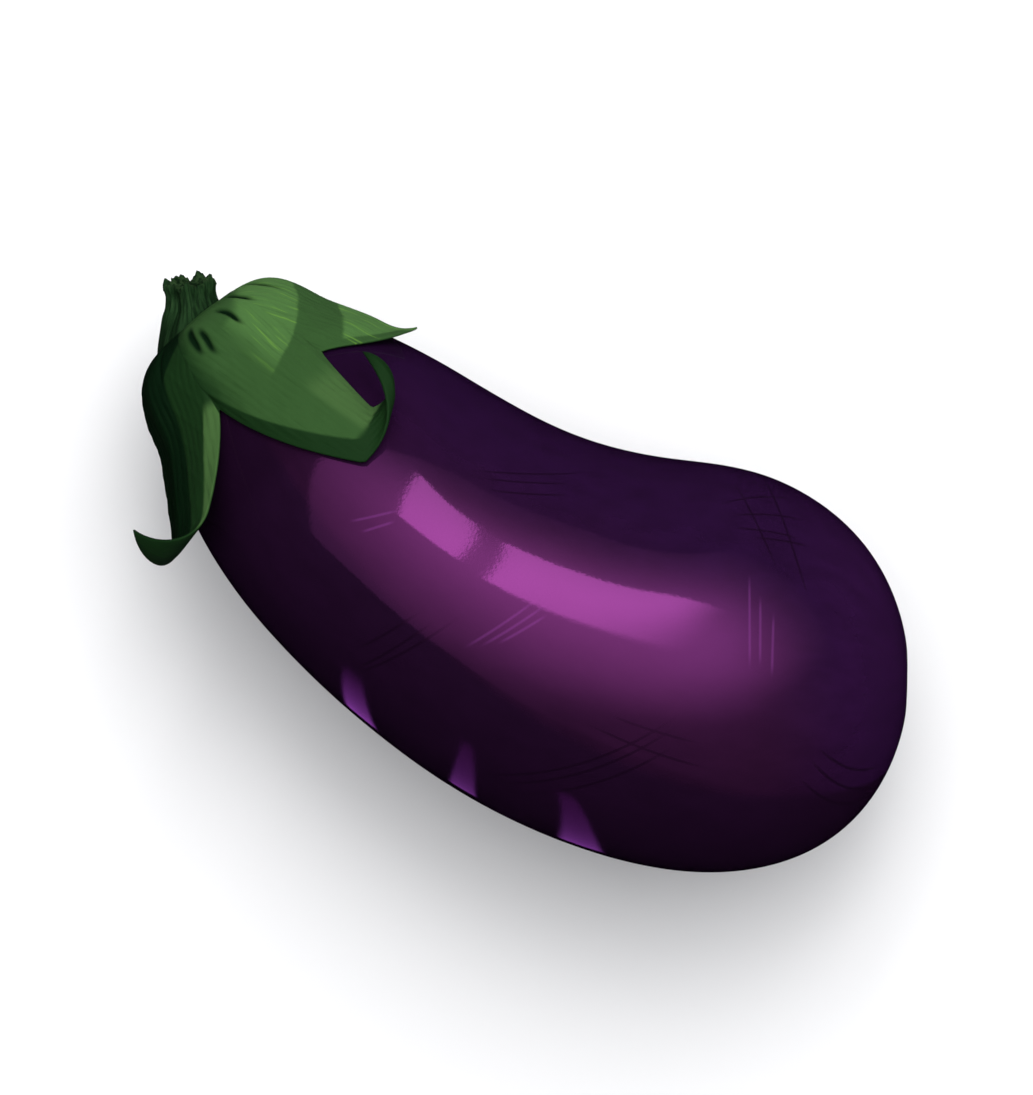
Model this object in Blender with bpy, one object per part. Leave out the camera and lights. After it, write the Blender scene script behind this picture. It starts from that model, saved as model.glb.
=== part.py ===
"""A globe eggplant as picked, lying on its side: the fruit, its five-lobed green calyx and the stub of its stem.

Plan view is the side of the fruit: +X runs from the stem end to the blossom end, +Y to the hollow side
of its bend, +Z up. The origin is on the small flat spot that the fruit rests on, under its centre line.
"""

import math

import bmesh
import bpy
import numpy as np

MM = 0.001

# Fruit, in millimetres. The centre line is one cubic curve in plan, from the stem end to the blossom end.
CENTRE_LINE = ((3.0, 3.0), (104.5, -29.5), (136.0, -12.0), (191.5, 20.5))
NECK_RADIUS = 41.8
BULB_RADIUS = 50.0
NECK_ENDS_AT = 50.0
BULB_STARTS_AT = 170.0
SHOULDER_LENGTH = 120.0
BLOSSOM_END_LENGTH = 68.5
OVAL_SHARE = 0.03
FLUTE_SHARE = 0.010
FLUTE_REACH = 70.0
SCAR_RADIUS = 5.0
SCAR_DEPTH = 1.0

# How the fruit lies: its top and its underside are long shallow arcs, and the floor presses the lowest part flat.
REST_ALONG = 108.0
UNDERSIDE_RADIUS = 450.0
FLAT_DEPTH = 0.9
TOP_HEIGHT = 98.0
TOP_ALONG = 125.0
TOP_RADIUS = 400.0

# Calyx: a cap with five pointed lobes. Sinuses and tips are (angle in degrees, distance over the fruit).
# Angle 0 faces up and 90 faces the hollow side of the bend.
GAP = 0.35
LOBE_THICKNESS = 2.0
CROWN_THICKNESS = 7.6
CROWN_ENDS_AT = 37.0
CROWN_DISH = 5.2
DISH_RADIUS = 12.0
MARGIN_THICKNESS = 1.1
RIB_HEIGHT = 0.7
RIB_HALF_WIDTH = 2.6
SINUSES = ((-19, 34), (38, 41), (116, 42), (190, 38), (265, 34))

# Stem: a short ribbed stub, bent to the hollow side and a little up, with a torn end.
STEM_BEND = ((0.0, 0.0, 0.0), (-3.3, 4.1, 0.4), (-6.3, 7.7, 1.6))
STEM_FOOT_AT = 10.2
STEM_WAIST_RADIUS = 5.6
STEM_TOP_RADIUS = 6.1
STEM_RIB_SHARE = 0.09
TORN_DEPTH = 1.1

FRUIT_RINGS, FRUIT_SIDES = 40, 48
LOBE_COLUMNS, CALYX_ROWS = 14, 19
STEM_SIDES, STEM_ROWS = 28, 9
AXIS_STEPS = 500


class Lobe:
    """One calyx lobe: where its tip would lie if it were flat, and how it bends and rolls away from the fruit."""

    def __init__(self, tip_deg, tip_at, sweep=0.0, lift_at=None, lift_radius=60.0, roll_after=20.0,
                 roll_radius=6.0, roll_deg=0.0, drift=0.0, point=(1.2, 1.2)):
        self.tip = math.radians(tip_deg)
        self.tip_at = tip_at
        self.sweep = sweep
        self.lift_at = tip_at if lift_at is None else lift_at
        self.lift_radius = lift_radius
        self.roll_after = roll_after
        self.roll_radius = roll_radius
        self.roll_direction = math.radians(roll_deg)
        self.drift = drift
        self.point = point


LOBES = (
    Lobe(18, 85.5, sweep=5, lift_at=63.6, lift_radius=24, roll_after=2, roll_radius=4.3, roll_deg=35,
         drift=1.42, point=(1.05, 1.3)),
    Lobe(82, 56, sweep=-2, lift_at=45, lift_radius=13),
    Lobe(152, 68, sweep=4, lift_at=60, lift_radius=60),
    Lobe(226, 66, sweep=-4, lift_at=62, lift_radius=60),
    Lobe(305, 71, sweep=0, lift_at=29.5, lift_radius=38, roll_after=25, roll_radius=6.4, point=(1.5, 0.95)),
)


def clear_scene():
    for item in list(bpy.data.objects):
        bpy.data.objects.remove(item, do_unlink=True)


def smoother(t):
    t = np.clip(t, 0, 1)
    return t**3 * (t * (6 * t - 15) + 10)


def unit(vectors):
    return vectors / np.linalg.norm(vectors, axis=-1, keepdims=True)


def bezier(points, t):
    """A cubic or quadratic Bezier curve through its first and last points."""
    points = np.array(points, float)
    degree = len(points) - 1
    weights = [math.comb(degree, i) * t**i * (1 - t) ** (degree - i) for i in range(degree + 1)]
    return np.stack(weights, axis=1) @ points


def end_rounding(share):
    """1 in the body of the fruit, falling to 0 at a pole as a dome does."""
    return np.sqrt(np.clip(1 - np.clip(1 - share, 0, 1) ** 3, 0, 1))


def fruit_form():
    """Rows along the centre line: its place, its directions, the fruit's radius and the way over the skin.

    The radius is that of the plan view. The direction up is stretched to give the fruit its height.
    """
    t = (1 - np.cos(np.pi * np.linspace(0, 1, AXIS_STEPS))) / 2
    plan = bezier(CENTRE_LINE, t)
    along = np.concatenate([[0], np.cumsum(np.linalg.norm(np.diff(plan, axis=0), axis=1))])
    length = along[-1]
    growth = smoother((along - NECK_ENDS_AT) / (BULB_STARTS_AT - NECK_ENDS_AT))
    body = NECK_RADIUS + (BULB_RADIUS - NECK_RADIUS) * growth
    radius = body * end_rounding(along / SHOULDER_LENGTH) * end_rounding((length - along) / BLOSSOM_END_LENGTH)
    underside = (along - REST_ALONG) ** 2 / (2 * UNDERSIDE_RADIUS) - FLAT_DEPTH
    top = TOP_HEIGHT - (along - TOP_ALONG) ** 2 / (2 * TOP_RADIUS)
    tallness = (top - underside) / 2 / body
    centre = np.column_stack([plan, (top + underside) / 2])
    centre[:, :2] -= [np.interp(REST_ALONG, along, plan[:, i]) for i in range(2)]
    ahead = unit(np.gradient(centre, along, axis=0))
    side = unit(np.cross([0, 0, 1], ahead))
    up = np.cross(ahead, side)
    outward = unit(np.column_stack([np.gradient(along), -np.gradient(radius)]))
    outward[0], outward[-1] = (0, -1), (0, 1)
    over = np.concatenate([[0], np.cumsum(np.hypot(np.diff(along), np.diff(radius)))])
    return {"along": along, "centre": centre, "ahead": ahead, "side": side, "up": up * tallness[:, None],
            "radius": radius, "outward": outward, "over": over}


FORM = fruit_form()


def form_at(over, name):
    """A column of FORM where the way over the skin from the stem end is the given distance."""
    column = FORM[name]
    if column.ndim == 1:
        return np.interp(over, FORM["over"], column)
    return np.stack([np.interp(over, FORM["over"], column[:, i]) for i in range(column.shape[1])], axis=-1)


def on_fruit(over, angle, lift):
    """Points at a distance over the skin from the stem end, at an angle round the fruit, lifted off its skin."""
    over, angle, lift = np.broadcast_arrays(over, angle, lift)
    along = form_at(over, "along")
    flutes = FLUTE_SHARE * np.cos(5 * angle - 0.6) * np.exp(-along / FLUTE_REACH)
    shape = 1 + OVAL_SHARE * np.sin(-2 * angle) + flutes
    outward = unit(form_at(over, "outward"))
    across = np.cos(angle)[..., None] * form_at(over, "up") + np.sin(angle)[..., None] * form_at(over, "side")
    reach = form_at(over, "radius") * shape + lift * outward[..., 0]
    forwards = lift * outward[..., 1]
    return form_at(over, "centre") + reach[..., None] * across + forwards[..., None] * form_at(over, "ahead")


def turn_outwards(work):
    """Makes every face of a closed mesh point outwards."""
    bmesh.ops.recalc_face_normals(work, faces=work.faces)
    if work.calc_volume(signed=True) < 0:
        bmesh.ops.reverse_faces(work, faces=work.faces)


def mesh_object(name, points, faces, colour, roughness):
    """An object from points in millimetres, with its own material."""
    mesh = bpy.data.meshes.new(name)
    mesh.from_pydata((np.asarray(points) * MM).tolist(), [], faces)
    mesh.validate()
    work = bmesh.new()
    work.from_mesh(mesh)
    turn_outwards(work)
    work.to_mesh(mesh)
    work.free()
    mesh.shade_smooth()
    material = bpy.data.materials.new(name)
    material.use_nodes = True
    shader = material.node_tree.nodes["Principled BSDF"]
    shader.inputs["Base Color"].default_value = (*colour, 1)
    shader.inputs["Roughness"].default_value = roughness
    mesh.materials.append(material)
    made = bpy.data.objects.new(name, mesh)
    bpy.context.scene.collection.objects.link(made)
    return made


def ring_faces(rows, sides):
    """Quads between neighbouring rings of points, each ring closed on itself."""
    faces = []
    for row in range(rows - 1):
        for column in range(sides):
            following = (column + 1) % sides
            low, high = row * sides, (row + 1) * sides
            faces.append((low + column, low + following, high + following, high + column))
    return faces


def fan_faces(pole, first, sides):
    return [(pole, first + column, first + (column + 1) % sides) for column in range(sides)]


def flatten_underside(fruit):
    """Cuts the fruit off at the floor and closes the cut with one flat face."""
    work = bmesh.new()
    work.from_mesh(fruit.data)
    everything = work.verts[:] + work.edges[:] + work.faces[:]
    cut = bmesh.ops.bisect_plane(work, geom=everything, plane_co=(0, 0, 0), plane_no=(0, 0, 1), clear_inner=True)
    rim = [item for item in cut["geom_cut"] if isinstance(item, bmesh.types.BMEdge)]
    bmesh.ops.contextual_create(work, geom=rim)
    for vertex in work.verts:
        if abs(vertex.co.z) < 1e-6:
            vertex.co.z = 0.0
    turn_outwards(work)
    work.to_mesh(fruit.data)
    work.free()


def make_fruit():
    """The fruit: rings round the bent centre line, closer together at the poles, with a dimple at the blossom end."""
    whole = FORM["over"][-1]
    share = np.arange(1, FRUIT_RINGS) / FRUIT_RINGS
    over = whole * (share - 0.35 * np.sin(2 * np.pi * share) / (2 * np.pi))
    dimple = -SCAR_DEPTH * np.exp(-((whole - over) / SCAR_RADIUS) ** 2)
    angles = 2 * np.pi * np.arange(FRUIT_SIDES) / FRUIT_SIDES
    rings = on_fruit(over[:, None], angles[None, :], dimple[:, None]).reshape(-1, 3)
    poles = [on_fruit(0.0, 0.0, 0.0), on_fruit(whole, 0.0, -SCAR_DEPTH)]
    points = np.vstack([rings, poles])
    faces = ring_faces(FRUIT_RINGS - 1, FRUIT_SIDES)
    faces += fan_faces(len(rings), 0, FRUIT_SIDES)
    faces += fan_faces(len(rings) + 1, len(rings) - FRUIT_SIDES, FRUIT_SIDES)
    fruit = mesh_object("fruit", points, faces, (0.045, 0.012, 0.055), 0.18)
    flatten_underside(fruit)


def rolled(way, lobe):
    """Where a point goes when its lobe first lifts in a wide arc and then rolls up in a tight one.

    way is the distance past the line where the lifting starts. It returns the distance along the skin and the
    height above it.
    """
    wide, tight = lobe.lift_radius, lobe.roll_radius
    first = np.clip(way, 0, lobe.roll_after) / wide
    turned = first + np.maximum(way - lobe.roll_after, 0) / tight
    along = wide * np.sin(first) + tight * (np.sin(turned) - np.sin(first)) + np.minimum(way, 0)
    height = wide * (1 - np.cos(first)) + tight * (np.cos(first) - np.cos(turned))
    return along, height


def lobe_sheet(index, columns):
    """The middle of the calyx sheet over one lobe: a grid of points, and how far each lies from the midrib.

    Every column of the grid runs from the stem out to the lobe's margin, so the last row is the margin.
    """
    lobe = LOBES[index]
    (left_deg, left_at), (right_deg, right_at) = SINUSES[index], SINUSES[(index + 1) % len(SINUSES)]
    left = math.radians(left_deg) - lobe.tip
    right = math.radians(right_deg + (360 if right_deg < left_deg else 0)) - lobe.tip
    across = columns[None, :]
    turn = np.where(across < 0, -across * left, across * right)
    sinus_at = (left_at + right_at) / 2 + (right_at - left_at) / 2 * across
    point = np.where(across < 0, lobe.point[0], lobe.point[1])
    reach = sinus_at + (lobe.tip_at - sinus_at) * (1 - np.abs(across)) ** point
    rows = np.linspace(0, 1, CALYX_ROWS)[1:, None] ** 0.85
    over = rows * reach
    lateral = form_at(over, "radius") * turn
    past = np.clip((over - sinus_at) / (lobe.tip_at - sinus_at), 0, 1)
    lateral = lateral + lobe.sweep * past**2
    ahead, aside = math.cos(lobe.roll_direction), math.sin(lobe.roll_direction)
    way = (over - lobe.lift_at) * ahead + lateral * aside
    along, height = rolled(way, lobe)
    drift = lobe.drift * np.maximum(way - lobe.roll_after, 0)
    over_rolled = over + (along - way) * ahead - drift * aside
    lateral_rolled = lateral + (along - way) * aside + drift * ahead
    angle = lobe.tip + lateral_rolled / np.maximum(form_at(over_rolled, "radius"), 1e-3)
    lift = GAP + sheet_thickness(over, rows) / 2 + height
    return on_fruit(over_rolled, angle, lift), np.abs(lateral), over, rows + 0 * over


def sheet_thickness(over, rows):
    """The calyx is a fleshy crown round the stem, thinner in its lobes and thinnest at its margin."""
    crown = 1 - smoother((over - 0.3 * CROWN_ENDS_AT) / (0.7 * CROWN_ENDS_AT))
    thick = LOBE_THICKNESS + (CROWN_THICKNESS - LOBE_THICKNESS) * crown
    thick = thick - CROWN_DISH * np.exp(-((over / DISH_RADIUS) ** 2))
    return thick - (thick - MARGIN_THICKNESS) * smoother((rows - 0.8) / 0.2)


def make_calyx():
    """The calyx: a sheet over the fruit's shoulder, thickened to both sides, with a low rib down each lobe."""
    steps = np.arange(LOBE_COLUMNS) / LOBE_COLUMNS * 2 - 1
    columns = np.sign(steps) * np.abs(steps) ** 1.5
    sheets = [lobe_sheet(index, columns) for index in range(len(LOBES))]
    middle, from_rib, over, rows = (np.concatenate(parts, axis=1) for parts in zip(*sheets))
    sides = middle.shape[1]
    centre_thickness = sheet_thickness(0.0, 0.0)
    centre = on_fruit(0.0, 0.0, GAP + centre_thickness / 2)
    outward = sheet_normals(middle, centre)
    thick = sheet_thickness(over, rows)[..., None]
    rib = RIB_HEIGHT * np.exp(-((from_rib / RIB_HALF_WIDTH) ** 2)) * smoother((1 - rows) / 0.35)
    rib *= smoother((over - STEM_FOOT_AT - 1) / 12)
    outer = middle + outward * (thick / 2 + rib[..., None])
    inner = middle - outward * thick / 2
    away = -FORM["ahead"][0]
    poles = [centre + away * centre_thickness / 2, centre - away * centre_thickness / 2]
    count = outer.shape[0] * sides
    points = np.vstack([outer.reshape(-1, 3), inner.reshape(-1, 3), poles])
    faces = ring_faces(outer.shape[0], sides)
    faces += [tuple(count + corner for corner in reversed(face)) for face in ring_faces(outer.shape[0], sides)]
    faces += fan_faces(2 * count, 0, sides)
    faces += [tuple(reversed(face)) for face in fan_faces(2 * count + 1, count, sides)]
    rim = (outer.shape[0] - 1) * sides
    for column in range(sides):
        following = (column + 1) % sides
        faces.append((rim + column, rim + following, count + rim + following, count + rim + column))
    mesh_object("calyx", points, faces, (0.07, 0.16, 0.06), 0.5)


def sheet_normals(middle, centre):
    """Unit normals of a closed fan of rows, pointing away from the fruit."""
    around = np.roll(middle, -1, axis=1) - np.roll(middle, 1, axis=1)
    with_centre = np.concatenate([np.broadcast_to(centre, middle[:1].shape), middle])
    outwards = np.gradient(with_centre, axis=0)[1:]
    return unit(np.cross(outwards, around))


def above_crown(over):
    return 2 * GAP + sheet_thickness(over, 0.0)


def make_stem():
    """The stem: rings from a foot that fits the calyx's crown to a bent, ribbed stub with a torn end."""
    t = np.linspace(0, 1, STEM_ROWS)
    foot_centre = on_fruit(0.0, 0.0, above_crown(0.0))
    path = foot_centre + bezier(STEM_BEND, t)
    ahead = unit(np.gradient(path, axis=0))
    side = unit(np.cross(ahead, [0, 0, 1]))
    up = np.cross(side, ahead)
    radius = STEM_WAIST_RADIUS + (STEM_FOOT_AT - STEM_WAIST_RADIUS) * np.exp(-5 * t)
    radius += (STEM_TOP_RADIUS - STEM_WAIST_RADIUS) * smoother((t - 0.6) / 0.4)
    angle = 2 * np.pi * np.arange(STEM_SIDES) / STEM_SIDES
    ribs = STEM_RIB_SHARE * (np.cos(5 * angle + 0.5) + 0.4 * np.cos(8 * angle + 1.7))
    reach = radius[:, None, None] * (1 + ribs[None, :, None] * smoother(t / 0.3)[:, None, None])
    across = np.cos(angle)[None, :, None] * up[:, None, :] + np.sin(angle)[None, :, None] * side[:, None, :]
    torn = TORN_DEPTH * (0.6 * np.cos(7 * angle) + 0.4 * np.cos(11 * angle + 1.0))
    rings = path[:, None, :] + reach * across
    rings[-1] += torn[:, None] * ahead[-1]
    rings[-2] += 0.4 * torn[:, None] * ahead[-2]
    foot = on_fruit(STEM_FOOT_AT, angle, above_crown(STEM_FOOT_AT))
    settled = smoother(t / 0.3)[:, None, None]
    rings = foot[None] + (rings - foot[None]) * settled
    under = on_fruit(STEM_FOOT_AT / 2, angle, above_crown(STEM_FOOT_AT / 2))
    poles = [foot_centre, path[-1] - 0.8 * ahead[-1]]
    points = np.vstack([under, rings.reshape(-1, 3), poles])
    count = (STEM_ROWS + 1) * STEM_SIDES
    faces = fan_faces(count + 1, count - STEM_SIDES, STEM_SIDES)
    faces += ring_faces(STEM_ROWS + 1, STEM_SIDES) + fan_faces(count, 0, STEM_SIDES)
    mesh_object("stem", points, faces, (0.05, 0.10, 0.045), 0.65)


clear_scene()
make_fruit()
make_calyx()
make_stem()
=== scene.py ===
"""How the eggplant looks: glossy skin, leathery calyx and torn stem, on a pale floor in soft studio light.

The forms follow the same rules as the solids, with finer meshes and relief. Lengths are in millimetres until
a mesh is made, and light positions are in metres.
"""

import math
from collections import namedtuple

import bmesh
import bpy
import numpy as np
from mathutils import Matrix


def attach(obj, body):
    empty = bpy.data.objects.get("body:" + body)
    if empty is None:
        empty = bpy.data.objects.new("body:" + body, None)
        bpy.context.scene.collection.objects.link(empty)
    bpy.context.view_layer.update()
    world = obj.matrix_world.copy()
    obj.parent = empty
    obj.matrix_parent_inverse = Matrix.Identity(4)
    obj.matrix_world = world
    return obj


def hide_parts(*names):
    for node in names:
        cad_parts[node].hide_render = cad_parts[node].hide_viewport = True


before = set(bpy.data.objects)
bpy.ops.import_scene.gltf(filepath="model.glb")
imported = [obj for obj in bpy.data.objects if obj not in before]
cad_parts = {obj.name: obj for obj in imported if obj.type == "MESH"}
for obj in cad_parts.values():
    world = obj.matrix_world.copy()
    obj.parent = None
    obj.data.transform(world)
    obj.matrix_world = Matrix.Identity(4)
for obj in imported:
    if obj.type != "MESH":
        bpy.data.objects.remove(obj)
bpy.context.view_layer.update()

MM = 0.001
TAU = 2 * math.pi

# Fruit. The centre line is one cubic curve in plan, from the stem end to the blossom end.
CENTRE_LINE = ((3.0, 3.0), (104.5, -29.5), (136.0, -12.0), (191.5, 20.5))
NECK_RADIUS = 41.8
BULB_RADIUS = 50.0
NECK_ENDS_AT = 50.0
BULB_STARTS_AT = 170.0
SHOULDER_LENGTH = 120.0
BLOSSOM_END_LENGTH = 68.5
OVAL_SHARE = 0.03
FLUTES = 5
FLUTE_SHARE = 0.010
FLUTE_PHASE = 0.6
FLUTE_REACH = 70.0
SCAR_RADIUS = 5.0
SCAR_DEPTH = 1.0
REST_ALONG = 108.0
UNDERSIDE_RADIUS = 450.0
FLAT_DEPTH = 0.9
TOP_HEIGHT = 98.0
TOP_ALONG = 125.0
TOP_RADIUS = 400.0

# Calyx. Sinuses and tips are (angle in degrees, distance over the fruit). Angle 0 faces up.
GAP = 0.35
LOBE_THICKNESS = 2.0
CROWN_THICKNESS = 7.6
CROWN_ENDS_AT = 37.0
CROWN_DISH = 5.2
DISH_RADIUS = 12.0
MARGIN_THICKNESS = 1.1
RIB_HEIGHT = 0.7
RIB_HALF_WIDTH = 2.6
SINUSES = ((-19, 34), (38, 41), (116, 42), (190, 38), (265, 34))

# Stem: a short ribbed stub, bent to the hollow side and a little up, with a torn end.
STEM_BEND = ((0.0, 0.0, 0.0), (-3.3, 4.1, 0.4), (-6.3, 7.7, 1.6))
STEM_FOOT_AT = 10.2
STEM_WAIST_RADIUS = 5.6
STEM_TOP_RADIUS = 6.1
STEM_RIB_SHARE = 0.09
STEM_SINK = 0.45
TORN_DEPTH = 1.1

# Finer meshes than the solids have.
SKIN_RINGS, SKIN_SIDES = 260, 300
LOBE_COLUMNS, CALYX_ROWS = 88, 70
STEM_SIDES, STEM_ROWS, TORN_ROWS = 200, 60, 14
AXIS_STEPS = 1500
# Over 1 crowds the calyx's columns at the lobes' middles, and under 1 crowds its rows at the margin.
COLUMN_CROWDING, ROW_CROWDING = 1.25, 0.85

# A lobe: where its tip would lie if it were flat, and how it bends and rolls off the fruit.
Lobe = namedtuple(
    "Lobe", "tip_deg tip_at sweep lift_at lift_radius roll_after roll_radius roll_deg drift point",
    defaults=(60.0, 20.0, 6.0, 0.0, 0.0, (1.2, 1.2)),
)
LOBES = (
    Lobe(18, 85.5, sweep=5, lift_at=63.6, lift_radius=24, roll_after=2, roll_radius=4.3, roll_deg=35,
         drift=1.42, point=(1.05, 1.3)),
    Lobe(82, 56, sweep=-2, lift_at=45, lift_radius=13),
    Lobe(152, 68, sweep=4, lift_at=60),
    Lobe(226, 66, sweep=-4, lift_at=62),
    Lobe(305, 71, sweep=0, lift_at=29.5, lift_radius=38, roll_after=25, roll_radius=6.4, point=(1.5, 0.95)),
)


def smoother(t):
    t = np.clip(t, 0, 1)
    return t**3 * (t * (6 * t - 15) + 10)


def unit(vectors):
    return vectors / np.linalg.norm(vectors, axis=-1, keepdims=True)


def bezier(points, t):
    """A cubic or quadratic Bezier curve through its first and last points."""
    points = np.array(points, float)
    degree = len(points) - 1
    weights = [math.comb(degree, i) * t**i * (1 - t) ** (degree - i) for i in range(degree + 1)]
    return np.stack(weights, axis=1) @ points


def end_rounding(share):
    """1 in the body of the fruit, falling to 0 at a pole as a dome does."""
    return np.sqrt(np.clip(1 - np.clip(1 - share, 0, 1) ** 3, 0, 1))


def centre_line():
    """Points along the centre line in plan, and how far along it each one is."""
    t = (1 - np.cos(np.pi * np.linspace(0, 1, AXIS_STEPS))) / 2
    plan = bezier(CENTRE_LINE, t)
    along = np.concatenate([[0], np.cumsum(np.linalg.norm(np.diff(plan, axis=0), axis=1))])
    return plan, along


def rest_place():
    """Where the centre line passes over the flat spot, in the plan curve's own millimetres."""
    plan, along = centre_line()
    return [float(np.interp(REST_ALONG, along, plan[:, i])) for i in range(2)]


def fruit_form():
    """Rows along the centre line: its place, its directions, the fruit's radius and the way over the skin."""
    plan, along = centre_line()
    from_end = along[-1] - along
    growth = smoother((along - NECK_ENDS_AT) / (BULB_STARTS_AT - NECK_ENDS_AT))
    body = NECK_RADIUS + (BULB_RADIUS - NECK_RADIUS) * growth
    radius = body * end_rounding(along / SHOULDER_LENGTH) * end_rounding(from_end / BLOSSOM_END_LENGTH)
    underside = (along - REST_ALONG) ** 2 / (2 * UNDERSIDE_RADIUS) - FLAT_DEPTH
    top = TOP_HEIGHT - (along - TOP_ALONG) ** 2 / (2 * TOP_RADIUS)
    tallness = (top - underside) / 2 / body
    centre = np.column_stack([plan - rest_place(), (top + underside) / 2])
    ahead = unit(np.gradient(centre, along, axis=0))
    side = unit(np.cross([0, 0, 1], ahead))
    up = np.cross(ahead, side)
    outward = unit(np.column_stack([np.gradient(along), -np.gradient(radius)]))
    outward[0], outward[-1] = (0, -1), (0, 1)
    over = np.concatenate([[0], np.cumsum(np.hypot(np.diff(along), np.diff(radius)))])
    return {"along": along, "centre": centre, "ahead": ahead, "side": side, "up": up * tallness[:, None],
            "radius": radius, "outward": outward, "over": over}


FORM = fruit_form()


def form_at(over, name):
    """A column of FORM where the way over the skin from the stem end is the given distance."""
    column = FORM[name]
    if column.ndim == 1:
        return np.interp(over, FORM["over"], column)
    return np.stack([np.interp(over, FORM["over"], column[:, i]) for i in range(column.shape[1])], axis=-1)


def on_fruit(over, angle, lift):
    """Points at a distance over the skin from the stem end, at an angle round it, lifted off it."""
    over, angle, lift = np.broadcast_arrays(over, angle, lift)
    along = form_at(over, "along")
    flutes = FLUTE_SHARE * np.cos(FLUTES * angle - FLUTE_PHASE) * np.exp(-along / FLUTE_REACH)
    shape = 1 + OVAL_SHARE * np.sin(-2 * angle) + flutes
    outward = unit(form_at(over, "outward"))
    across = np.cos(angle)[..., None] * form_at(over, "up") + np.sin(angle)[..., None] * form_at(over, "side")
    reach = form_at(over, "radius") * shape + lift * outward[..., 0]
    forwards = lift * outward[..., 1]
    return form_at(over, "centre") + reach[..., None] * across + forwards[..., None] * form_at(over, "ahead")


# Node trees. A Field is a value in a tree that Python's own signs combine.
class Field:
    def __init__(self, tree, socket):
        self.tree = tree
        self.socket = socket

    def math(self, operation, *others):
        node = self.tree.nodes.new("ShaderNodeMath")
        node.operation = operation
        for place, value in enumerate((self, *others)):
            plug(self.tree, value, node.inputs[place])
        return Field(self.tree, node.outputs[0])

    def __add__(self, other):
        return self.math("ADD", other)

    def __sub__(self, other):
        return self.math("SUBTRACT", other)

    def __mul__(self, other):
        return self.math("MULTIPLY", other)

    def __truediv__(self, other):
        return self.math("DIVIDE", other)

    def __pow__(self, other):
        return self.math("POWER", other)

    def __rsub__(self, other):
        return self * -1 + other

    __radd__ = __add__
    __rmul__ = __mul__

    def above(self, lowest=0.0):
        return self.math("MAXIMUM", lowest)

    def below(self):
        return self.math("MINIMUM", 1.0)

    def cos(self):
        return self.math("COSINE")

    def sin(self):
        return self.math("SINE")

    def bell(self, width):
        """1 where this is 0, falling smoothly to 0 some widths away."""
        ratio = self / width
        return (ratio * ratio * -1).math("EXPONENT")

    def ramp(self, start, end, kind="SMOOTHERSTEP"):
        """0 before start and 1 after end."""
        node = add_node(self.tree, "ShaderNodeMapRange", {"Value": self}, interpolation_type=kind)
        plug(self.tree, start, node.inputs["From Min"])
        plug(self.tree, end, node.inputs["From Max"])
        return Field(self.tree, node.outputs["Result"])

    def between(self, start, end):
        """1 between two soft edges. Each edge is where it starts and where it ends."""
        return self.ramp(*start) * self.ramp(end[1], end[0])


def plug(tree, value, socket):
    """Links a socket to a Field, or gives it a plain value."""
    if isinstance(value, Field):
        tree.links.new(value.socket, socket)
    else:
        socket.default_value = value


def add_node(tree, kind, inputs=None, **settings):
    node = tree.nodes.new(kind)
    for name, value in settings.items():
        setattr(node, name, value)
    for name, value in (inputs or {}).items():
        plug(tree, value, node.inputs[name])
    return node


def field(tree, kind, inputs=None, output=0, **settings):
    return Field(tree, add_node(tree, kind, inputs, **settings).outputs[output])


def parts_of(vector):
    node = add_node(vector.tree, "ShaderNodeSeparateXYZ", {0: vector})
    return [Field(vector.tree, socket) for socket in node.outputs]


def vector_of(tree, x, y, z):
    return field(tree, "ShaderNodeCombineXYZ", {0: x, 1: y, 2: z})


def dot(vector, direction):
    return field(vector.tree, "ShaderNodeVectorMath", {0: vector, 1: direction}, output="Value",
                 operation="DOT_PRODUCT")


def noise(tree, vector, scale, detail=2.0, roughness=0.5):
    return field(tree, "ShaderNodeTexNoise",
                 {"Vector": vector, "Scale": scale, "Detail": detail, "Roughness": roughness})


def mixed(tree, share, first, second):
    """The first colour where share is 0 and the second where it is 1."""
    node = tree.nodes.new("ShaderNodeMix")
    node.data_type = "RGBA"
    for place, value in ((0, share), (6, first), (7, second)):
        plug(tree, (*value, 1.0) if isinstance(value, tuple) else value, node.inputs[place])
    return Field(tree, node.outputs[2])


def layered(tree, colour, *layers):
    """Colours laid over a first one, in order. Each layer is the share that it covers and its colour."""
    for share, cover in layers:
        colour = mixed(tree, share, colour, cover)
    return colour


# Fruit skin: a node tree that follows the same rule as the solid.
SKIN_SIZES = {
    "Neck radius": NECK_RADIUS,
    "Bulb radius": BULB_RADIUS,
    "Neck ends at": NECK_ENDS_AT,
    "Bulb starts at": BULB_STARTS_AT,
    "Shoulder length": SHOULDER_LENGTH,
    "Blossom end length": BLOSSOM_END_LENGTH,
    "Oval share": OVAL_SHARE,
    "Flute share": FLUTE_SHARE,
    "Flute reach": FLUTE_REACH,
    "Rest along": REST_ALONG,
    "Underside radius": UNDERSIDE_RADIUS,
    "Flat depth": FLAT_DEPTH,
    "Top height": TOP_HEIGHT,
    "Top along": TOP_ALONG,
    "Top radius": TOP_RADIUS,
    "Scar radius": SCAR_RADIUS,
    "Scar depth": SCAR_DEPTH,
    "Cork scale": 0.9,
    "Cork depth": 0.5,
    "Swell depth": 0.5,
    "Swell size": 42.0,
    "Inset": 0.05,
}


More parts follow.
